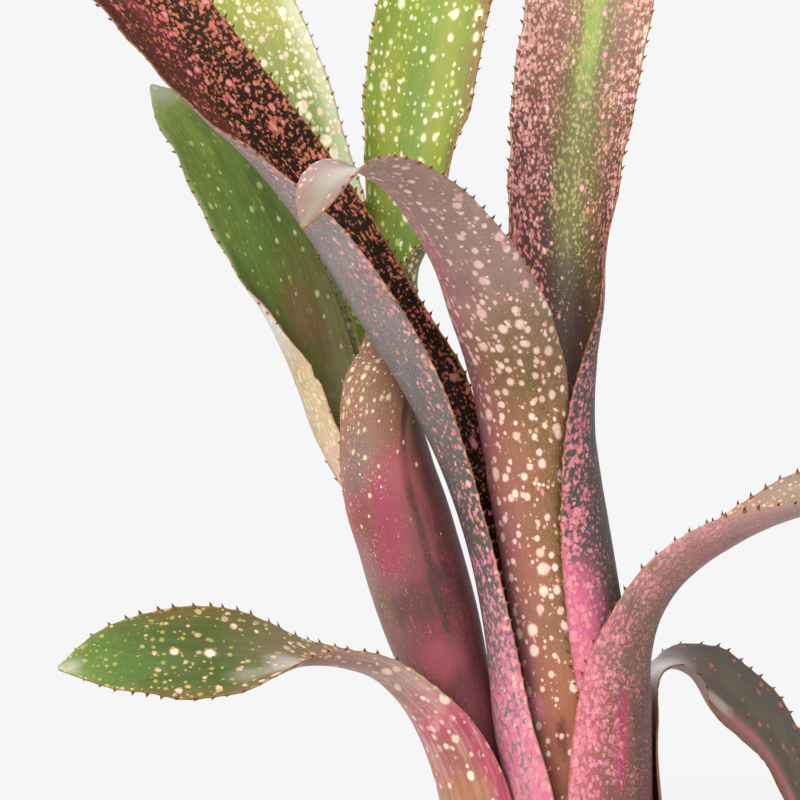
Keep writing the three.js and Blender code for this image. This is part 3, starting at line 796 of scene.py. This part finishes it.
centreTallLeaf = {
    "seed": 7,
    "toothScale": 0.85,
    "stations": [
        [-21.3, -3.5, 18, 18, 8, 20, 0], [-21.3, -3.5, 60, 18, 8, 20, 0], [-22.1, -3, 100, 19, 8.5, 20, 0],
        [-27.2, -4.5, 130.5, 22.5, 10.8, 20, 0], [-33, -5.6, 154, 28, 14, 22, 0],
        [-39.5, -4.5, 178, 28.6, 14.8, 24, 0], [-45.4, -2.5, 200.5, 25.4, 14.4, 29, 0],
        [-45.9, 4.2, 217, 22.9, 13.2, 48, 0], [-42.4, 16.3, 230.5, 23, 13, 78, 0],
        [-43.7, 31, 244.5, 22.5, 12.8, 113, 0], [-47.3, 37.3, 260, 21.2, 12.5, 142, 0],
        [-44.1, 39, 275.5, 19.7, 11.5, 163, 0], [-44, 41, 292.5, 19, 14, 172, 0],
        [-42, 44, 313, 18.4, 24, 176, 0], [-38.5, 48, 337, 18.5, 28, 180, 0],
        [-32.5, 56, 363, 17, 28, 182, 0], [-26.5, 64, 389.5, 13, 28, 184, 0], [-19, 76, 425, 0.7, 28, 185, 0],
    ],
    "outer": (0, "bronze", 60, "maroon", 110, "maroon", 130, "wine", 150, "wine", 178, "rosewood",
        200, "bronze", 222, "bronze", 260, "moss", 320, "leaf", 432, "lime"),
    "inner": (150, "brown", 215, "moss", 240, "green", 275, "green", 300, "leaf", 340, "leaf", 432, "gold"),
    "bands": [
        ("outer", -1, 0.35, 95, 210, "coral", 0.35), ("outer", -0.7, 0.5, 100, 160, "mauve", 0.4),
        ("outer", 0.6, 0.7, 40, 216, "maroon", 0.9), ("outer", -0.06, 0.07, 120, 212, "umber", 0.85),
        ("outer", 0.16, 0.12, 100, 205, "umber", 0.5), ("outer", 0.36, 0.12, 120, 212, "wine", 0.7),
        ("outer", 0.85, 0.35, 120, 215, "slate", 0.6), ("inner", -1, 0.45, 262, 432, "bronze", 0.75),
        ("inner", 0.1, 0.5, 255, 330, "green", 0.5), ("inner", -0.35, 0.3, 285, 432, "gold", 0.5),
        ("inner", 0.5, 0.35, 250, 330, "gold", 0.6),
    ],
    "washes": [
        ("outer", 172, -0.36, 22, 0.22, "magenta", 0.6), ("outer", 160, -0.5, 8, 0.16, "magenta", 0.5),
        ("outer", 186, -0.15, 10, 0.2, "rose", 0.5), ("outer", 144, -0.3, 9, 0.4, "umber", 0.55),
        ("outer", 146, 0.05, 12, 0.15, "umber", 0.6), ("outer", 150, 0.1, 12, 0.25, "maroon", 0.6),
        ("outer", 190, -0.7, 14, 0.35, "ash", 0.5), ("outer", 160, -0.8, 14, 0.25, "mauve", 0.5),
        ("outer", 127, -0.2, 10, 0.35, "rose", 0.5), ("outer", 108, 0.1, 16, 0.3, "wine", 0.7),
        ("outer", 148, -0.7, 8, 0.2, "moss", 0.4),
    ],
    "streaks": [
        ("outer", "umber", 0.7, (0, 0.6, 120, 0.7, 190, 0.5, 225, 0.2, 432, 0), (-1, 0.3, -0.3, 0.5, 0.1, 1)),
        ("outer", "magenta", 0.4, (0, 0.4, 120, 0.5, 190, 0.5, 215, 0), (-1, 0.3, 0.1, 0.6, 0.5, 1, 1, 0.5)),
        ("inner", "green", 0.45, (0, 0.3, 432, 0.6)),
    ],
    "flecks": [
        ("outer", 1.3, 3, "umber", "maroon", 0.5, (0, 0.3, 180, 0.42, 205, 0.3, 432, 0), (-1, 0.5, 0.1, 0.8,
         0.3, 1.1, 1, 1)),
        ("outer", 1.1, 1.3, "magenta", "wine", 0.5, (0, 0.3, 120, 0.45, 160, 0.5, 185, 0.5, 205, 0.2, 432, 0),
         (-1, 0.7, 0, 1, 1, 0.7)),
        ("outer", 0.9, 1.3, "blush", "mauve", 0.5, (0, 0.05, 130, 0.38, 180, 0.46, 205, 0.5, 432, 0.3),
         (-1, 1, -0.3, 0.8, 0.2, 0.2, 1, 0)),
        ("inner", 1.6, 2.2, "lime", "sand", 0.5, (0, 0, 230, 0.1, 300, 0.3, 432, 0.4)),
    ],
    "spots": [
        ("outer", 3.4, 1.4, 0.42, "cream", "mint", 0.9, (222, 0, 245, 0.5, 432, 0.7), (-1, 0.6, 0, 1)),
        ("outer", 2, 1.3, 0.42, "cream", "sand", 0.8, (150, 0, 172, 0.1, 186, 0.08, 198, 0.4, 208, 0.75,
         222, 0.8, 432, 0.6), (-1, 1.4, -0.7, 0.9, -0.3, 0.7, 0, 0.1)),
        ("inner", 4.4, 1.5, 0.42, "cream", "mint", 0.95, (0, 0.1, 240, 0.5, 300, 0.7, 432, 0.6), (-1, 0.4,
         0, 0.6, 1, 1)),
        ("inner", 2.2, 1.5, 0.42, "cream", "lime", 0.9, (0, 0.1, 240, 0.7, 300, 0.8), (-1, 0.9, -0.4, 0.4,
         0.2, 0.7, 1, 1)),
    ],
    "light": 0.9,
    "halo": "lime",
    "scurfAndSheen": (0, 0.02, 150, 0.03, 432, 0.02),
}

leftGreenLeaf = {
    "seed": 8,
    "toothScale": 0.7,
    "stations": [
        [-26.6, 6, 34, 8, 3.3, -128, 0], [-26.8, 6.2, 60, 8.5, 3.5, -128, 0],
        [-28.2, 7.7, 100, 10, 4, -128, 0], [-36.2, 9.4, 130, 12.5, 5.6, -128, 0],
        [-44.7, 13.1, 154, 15, 7.4, -128, 0], [-54.4, 17, 178, 16.5, 9, -125, 0],
        [-63.2, 21.8, 193, 17.5, 10, -122, 0], [-71.8, 26, 208, 18.5, 11, -120, 0],
        [-77.5, 31.5, 224.5, 20, 12.5, -122, 0], [-82, 34, 240, 19.5, 16, -134, 0],
        [-86.5, 36, 254, 17.8, 21, -146, 0], [-92.3, 38, 268.5, 16, 28, -152, 0],
        [-101, 40, 285, 14.3, 32, -154, 0], [-111, 42, 301, 11.5, 32, -154, 0],
        [-118.7, 44, 311.5, 8.8, 32, -154, 0], [-125.6, 46, 318, 0.7, 32, -154, 0],
    ],
    "outer": (0, "sand", 80, "bronze", 130, "rosewood", 165, "blush", 185, "sand", 205, "sand", 225, "mist",
        260, "mint", 311, "leaf"),
    "inner": (0, "brown", 150, "olive", 205, "moss", 228, "moss", 246, "fern", 270, "green", 292, "green",
        302, "leaf", 311, "sage"),
    "bands": [
        # the pale sage band along the margin at 1 on the inner face is a painted sheen
        ("inner", 1, 0.16, 236, 311, "sage", 0.7), ("inner", -0.25, 0.16, 246, 296, "fern", 0.7),
        ("inner", -0.6, 0.7, 190, 250, "olive", 0.55), ("inner", 0.45, 0.35, 245, 300, "green", 0.6),
    ],
    "washes": [
        ("inner", 240, 0.2, 25, 0.5, "green", 0.5), ("inner", 308, 0, 8, 1.2, "mist", 0.4),
        ("inner", 225, -0.3, 16, 0.4, "bronze", 0.45), ("inner", 262, -0.6, 16, 0.4, "pine", 0.5),
        ("inner", 288, 0, 12, 0.35, "leaf", 0.7), ("inner", 218, -0.6, 14, 0.3, "murk", 0.35),
    ],
    "streaks": [
        ("inner", "pine", 0.4, (0, 0.4, 200, 0.6, 311, 0.4), (-1, 1, 1, 0.6)),
        ("inner", "lime", 0.25, (0, 0, 240, 0.5, 311, 0.6), (-1, 0.4, 1, 1)),
    ],
    "flecks": [
        ("inner", 1.6, 3, "lime", "leaf", 0.45, (0, 0.1, 200, 0.3, 311, 0.45)),
        ("outer", 1.6, 2, "mint", "blush", 0.6, (0, 0.2, 190, 0.5, 311, 0.4)),
    ],
    "spots": [
        ("inner", 3.4, 1.6, 0.26, "mint", "lime", 0.7, (0, 0.1, 200, 0.3, 270, 0.4, 311, 0.7)),
        ("outer", 3.4, 1.3, 0.34, "cream", "lime", 0.8, (0, 0.2, 311, 0.4)),
    ],
    "halo": "lime",
    "light": 0.9,
    "scurfAndSheen": (290, 0.03, 311, 0.12),
}

backLeftLeaf = {
    "seed": 9,
    "toothScale": 0.75,
    "stations": [
        [-21.2, 8.8, 26, 12, 5.5, 150, 0], [-21.1, 9, 60, 12.5, 5.8, 150, 0],
        [-21.9, 10.4, 100, 13, 6.2, 150, 0], [-27.5, 12.7, 130, 15, 8, 150, 0],
        [-34.4, 17.1, 154, 17, 9.8, 152, 0], [-41.5, 21.3, 178, 15, 11.2, 152, 0],
        [-51.8, 27.3, 190, 13.6, 12.2, 169, 0], [-59.2, 33.2, 201, 13, 13.3, 175, 0],
        [-61.5, 42, 220, 15.5, 20, 175, 0], [-64.5, 47, 237, 16.5, 24, 176, 0],
        [-69, 52, 254.5, 17, 26, 178, 0], [-74, 57, 273.5, 17.5, 28, 180, 0],
        [-80.5, 62, 294, 17.8, 28, 182, 0], [-88.5, 68, 318.5, 18, 30, 184, 0],
        [-98.5, 74, 342.5, 17.5, 30, 186, 0], [-110.5, 79, 369, 15.5, 30, 188, 0],
        [-122, 85, 394, 11.5, 30, 190, 0], [-137, 91, 421.5, 0.7, 30, 190, 0],
    ],
    "outer": (0, "bronze", 100, "rosewood", 170, "blush", 220, "sand", 300, "leaf", 430, "lime"),
    "inner": (0, "brown", 150, "bronze", 190, "sand", 225, "sage", 265, "sage", 292, "green", 350, "gold",
        430, "leaf"),
    "bands": [
        ("inner", -1, 0.45, 200, 345, "mint", 0.65), ("inner", 1, 0.3, 190, 300, "mint", 0.5),
        ("inner", 0.3, 0.35, 300, 430, "leaf", 0.5),
    ],
    "washes": [
        ("inner", 268, -0.3, 26, 0.8, "mint", 0.7),
    ],
    "streaks": [
        ("inner", "leaf", 0.4, (0, 0.3, 430, 0.6), (-1, 0.4, 1, 1)),
    ],
    "flecks": [
        ("inner", 1.8, 1.5, "cream", "sand", 0.8, (0, 0.1, 200, 0.45, 280, 0.52, 430, 0.45), (-1, 1, 0, 0.8,
         1, 1)),
    ],
    "spots": [
        ("inner", 5.6, 1.15, 0.5, "cream", "cream", 0.95, (0, 0.2, 200, 0.6, 430, 0.75), (-1, 0.8, 1, 1.1)),
        ("both", 2.8, 1.3, 0.46, "cream", "blush", 0.9, (0, 0.2, 200, 0.7, 430, 0.8)),
    ],
    "halo": "lime",
    "scurfAndSheen": (0, 0.03, 250, 0.08, 330, 0.06, 430, 0.04),
}

rightTallLeaf = {
    "seed": 3,
    "toothScale": 1.05,
    "stations": [
        [19.7, 5.2, 22, 19.5, 13.5, 112, 0], [20.2, 5.3, 60, 20.5, 14, 112, 0],
        [22, 3.8, 100, 22.5, 15, 104, 0], [22.8, 2.1, 130, 27, 14.8, 95, 0],
        [18.5, 3, 156.5, 27, 14.5, 97, 0], [12.4, 6.2, 190, 25.3, 13.6, 108, 0],
        [6.9, 9.9, 214, 24, 12.5, 131, 0], [5.3, 13.9, 229, 22.5, 12.5, 145, 0],
        [4.5, 18.5, 247.5, 21.2, 13.5, 158, 0], [2.4, 24, 269, 21, 15.4, 170, 0],
        [2.9, 27, 284, 21, 18.9, 174, 0], [5.1, 31.5, 307.5, 20.9, 24, 177, 0],
        [9.8, 38, 337.5, 21.3, 27.5, 180, 0], [14.5, 48, 370, 21, 30, 182, 0],
        [19.5, 58, 402.5, 16.5, 30, 184, 0], [25.5, 70, 443.5, 0.7, 30, 185, 0],
    ],
    "outer": (0, "bronze", 50, "brown", 90, "slate", 200, "slate", 260, "umber", 330, "brown", 433, "bronze"),
    "inner": (0, "brown", 180, "night", 222, "umber", 250, "umber", 290, "brown", 340, "bronze"),
    "bands": [
        ("outer", -1, 0.55, 40, 150, "hotPink", 0.95), ("outer", 0.1, 0.35, 90, 260, "ash", 0.5),
        ("inner", -0.12, 0.4, 245, 433, "moss", 0.9), ("inner", -0.5, 0.3, 225, 300, "olive", 0.4),
        ("inner", -0.1, 0.2, 300, 433, "leaf", 0.9), ("inner", 0.95, 0.7, 228, 290, "maroon", 0.8),
    ],
    "washes": [
        ("inner", 340, -0.1, 40, 0.25, "leaf", 0.6),
    ],
    "flecks": [
        ("outer", 1.5, 1.4, "rose", "pink", 0.9, (0, 0.6, 60, 0.9, 110, 0.85, 150, 0.66, 190, 0.58, 240, 0.5,
         433, 0.4), (-1, 1.05, -0.75, 0.95, -0.5, 0.62, -0.25, 0.45, 0.1, 0.5, 0.5, 0.85, 1, 0.9)),
        ("outer", 1.3, 1.3, "pink", "coral", 0.85, (0, 0.3, 100, 0.42, 150, 0.5, 220, 0.5, 433, 0.4), (-1, 1,
         -0.4, 0.6, 0, 0.3, 0.4, 0.8, 1, 0.9)),
        ("inner", 1.5, 1.5, "coral", "pink", 0.8, (0, 0.1, 215, 0.3, 240, 0.6, 290, 0.52, 330, 0.46,
         433, 0.5), (-1, 1, -0.5, 0.8, -0.15, 0.3, 0.15, 0.4, 0.4, 1, 1, 1.05)),
        ("inner", 1.6, 1.5, "salmon", "blush", 0.85, (0, 0, 225, 0.2, 250, 0.46, 290, 0.56, 330, 0.62,
         433, 0.7), (-1, 1, -0.5, 0.7, -0.1, 0.25, 0.25, 0.7, 0.5, 0.9, 1, 1.05)),
        ("inner", 1.1, 2, "sand", "gold", 0.6, (0, 0.1, 225, 0.3, 260, 0.55, 433, 0.6), (-1, 0.4, -0.3, 1,
         0.2, 1, 0.5, 0.3, 1, 0.2)),
        ("inner", 1.5, 1.6, "blush", "cream", 0.9, (0, 0, 250, 0.3, 300, 0.5, 340, 0.58, 433, 0.7), (-1, 1,
         -0.7, 0.6, -0.3, 0.2, 0.4, 0.3, 0.8, 0.7, 1, 1.1)),
    ],
    "spots": [
        ("outer", 3.8, 1.4, 0.4, "blush", "pink", 0.7, (195, 0, 245, 0.5, 433, 0.6)),
        ("inner", 2.4, 1.4, 0.42, "blush", "pink", 0.85, (0, 0, 240, 0.2, 290, 0.5, 433, 0.6), (-1, 1,
         -0.3, 0.4, 0, 0.1, 0.3, 0.5, 1, 1)),
    ],
    "halo": "rose",
    "scurfAndSheen": (0, 0, 230, 0.02, 300, 0.05, 340, 0.1, 433, 0.14),
}

frontLeaf = {
    "seed": 2,
    "stations": [
        [3.7, -8.8, 30, 16, 9.4, -20, 0], [3.4, -9.2, 60, 16.5, 9.8, -20, 0],
        [-0.1, -11.3, 100, 20, 12, -20, 0], [-3.1, -11.7, 134, 20.9, 12.5, -20, 0],
        [-7.6, -11.3, 161, 20.5, 11.5, -18, 0], [-12, -11.3, 190.5, 20, 12, -18, 0],
        [-16.4, -12.6, 220, 20.2, 16, -25, 0], [-23.6, -24, 240.6, 21.6, 17.5, -32, 0],
        [-31.4, -37, 260, 18, 20, -38, 0], [-40.2, -50, 273.6, 15.8, 24, -42, 0],
        [-50.8, -65, 282.4, 14.2, 28, -46, 0], [-61.8, -78, 284.2, 13.2, 28, -50, 0],
        [-68.2, -86, 278.8, 11.4, 28, -52, 0], [-71.9, -90, 272.6, 7, 28, -52, 0],
        [-75, -92, 267.4, 0.7, 28, -52, 0],
    ],
    "outer": (0, "bronze", 60, "terracotta", 95, "terracotta", 120, "bronze", 180, "bronze", 205, "olive",
        228, "mauve"),
    "inner": (0, "brown", 200, "mauve", 305, "mauve", 326, "bronze"),
    "innerLight": 0.72,
    "bands": [
        ("outer", -0.75, 0.85, 60, 250, "orchid", 0.85), ("outer", -0.85, 0.4, 60, 250, "pink", 0.4),
        ("outer", 0.6, 0.6, 120, 215, "olive", 0.7), ("outer", 0, 0.3, 60, 98, "rosewood", 0.5),
        ("inner", 0, 0.5, 285, 326, "sage", 0.3),
    ],
    "washes": [
        ("outer", 99, -0.3, 6, 0.25, "pink", 0.9), ("outer", 90, 0.1, 10, 0.12, "maroon", 0.8),
        ("outer", 232, -0.1, 8, 0.4, "wine", 0.35), ("outer", 215, 0.4, 22, 0.5, "olive", 0.4),
    ],
    "streaks": [
        ("outer", "rose", 0.5, (0, 0.3, 100, 0.6, 220, 0.5, 250, 0.2, 326, 0.1), (-1, 1, -0.3, 0.7, 1, 0.2)),
    ],
    "gloss": 0.16,
    "flecks": [
        ("outer", 0.9, 1.1, "terracotta", "rosewood", 0.55, (0, 0.4, 150, 0.55, 220, 0.55, 326, 0.5)),
        ("outer", 0.7, 1.1, "sand", "olive", 0.4, (0, 0.3, 150, 0.5), (-1, 0.6, 1, 1.1)),
        ("outer", 1.4, 2.8, "pink", "blush", 0.85, (0, 0.1, 110, 0.38, 200, 0.42, 260, 0.42, 326, 0.35),
         (-1, 1.2, -0.5, 1, -0.1, 0.3)),
    ],
    "spots": [
        ("outer", 4.9, 1.2, 0.42, "cream", "blush", 0.95, (0, 0.05, 80, 0.1, 105, 0.5, 130, 0.7, 215, 0.85,
         235, 0.35, 326, 0.1), (-1, 0.4, -0.6, 0.5, -0.3, 1)),
        ("outer", 3.1, 1.25, 0.46, "blush", "cream", 0.9, (0, 0.05, 80, 0.2, 130, 0.5, 215, 0.7, 240, 0.5,
         326, 0.3), (-1, 0.5, -0.3, 0.8, 1, 1)),
        ("outer", 1.7, 1.4, 0.4, "blush", "peach", 0.7, (0, 0.05, 80, 0.2, 130, 0.25, 215, 0.3)),
        ("outer", 3, 2.4, 0.36, "pink", "blush", 0.85, (0, 0, 100, 0.3, 210, 0.3, 235, 0.5, 326, 0.4),
         (-1, 1.2, -0.4, 0.8, 0, 0.3, 1, 0.5)),
        ("inner", 2.2, 1.2, 0.45, "coral", "peach", 0.85, (0, 0.3, 326, 0.9), (-1, 1.2, -0.75, 0.4,
         -0.5, 0.05, 0.5, 0.05, 0.8, 0.6, 1, 1.2)),
    ],
    "halo": "rose",
    "scurfAndSheen": (0, 0, 180, 0.01, 230, 0.08, 290, 0.14, 326, 0.12),
}

leaves = {
    "leaf_low_left": lowLeftLeaf,
    "leaf_right_arching": rightArchingLeaf,
    "leaf_right_drooping": rightDroopingLeaf,
    "leaf_left_dark": leftDarkLeaf,
    "leaf_centre_tall": centreTallLeaf,
    "leaf_left_green": leftGreenLeaf,
    "leaf_back_left": backLeftLeaf,
    "leaf_right_tall": rightTallLeaf,
    "leaf_front": frontLeaf,
}

# The cut stem keeps its own solid, with a better material
stemLook = {
    "bark": linear("7d6443"),
    "scar": linear("4f3a27"),
    "cut": linear("d8c9a0"),
    "cutAmount": 0.9,
    "cutHeights": (0.0002, 0.0008),  # between these the cut face turns into bark
    "ringSpacing": 0.0045,
    "roughness": 0.8,
    "relief": {"Distance": 0.0008, "Strength": 0.8},
}


def paintStem():
    # brown bark with leaf-scar rings up the side, pale on the flat cut
    paint = Paint("stemBark")
    place = paint.add("TexCoord", {}, {}, "Object")
    z = paint.parts(place)[2]
    rough = paint.noise(paint.scaled(place, (1, 1, 3)), 260.0, 5.0, 0.65)
    ring = paint.noise(paint.scaled(place, (0.3, 0.3, 1 / stemLook["ringSpacing"] / 100)), 100.0, 2.0)
    bark = paint.mix((rough * 0.6 + ring * 0.5).smooth(0.4, 0.7), stemLook["scar"], stemLook["bark"])
    onCut = 1 - z.smooth(*stemLook["cutHeights"])
    sockets = paint.shader.inputs
    paint.feed(sockets["Base Color"], paint.mix(onCut * stemLook["cutAmount"], bark, stemLook["cut"]))
    sockets["Roughness"].default_value = stemLook["roughness"]
    relief = {"Height": rough + ring, **stemLook["relief"]}
    paint.feed(sockets["Normal"], paint.add("Bump", {}, relief, "Normal"))
    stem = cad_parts["stem"]
    stem.data.materials.clear()
    stem.data.materials.append(paint.material)


buildCamera()
buildLight()
buildFloor()
print("camera, floor and lamps placed")
for node, leaf in leaves.items():
    buildLeaf(node, leaf)
paintStem()
print("stem painted")

print("finished")
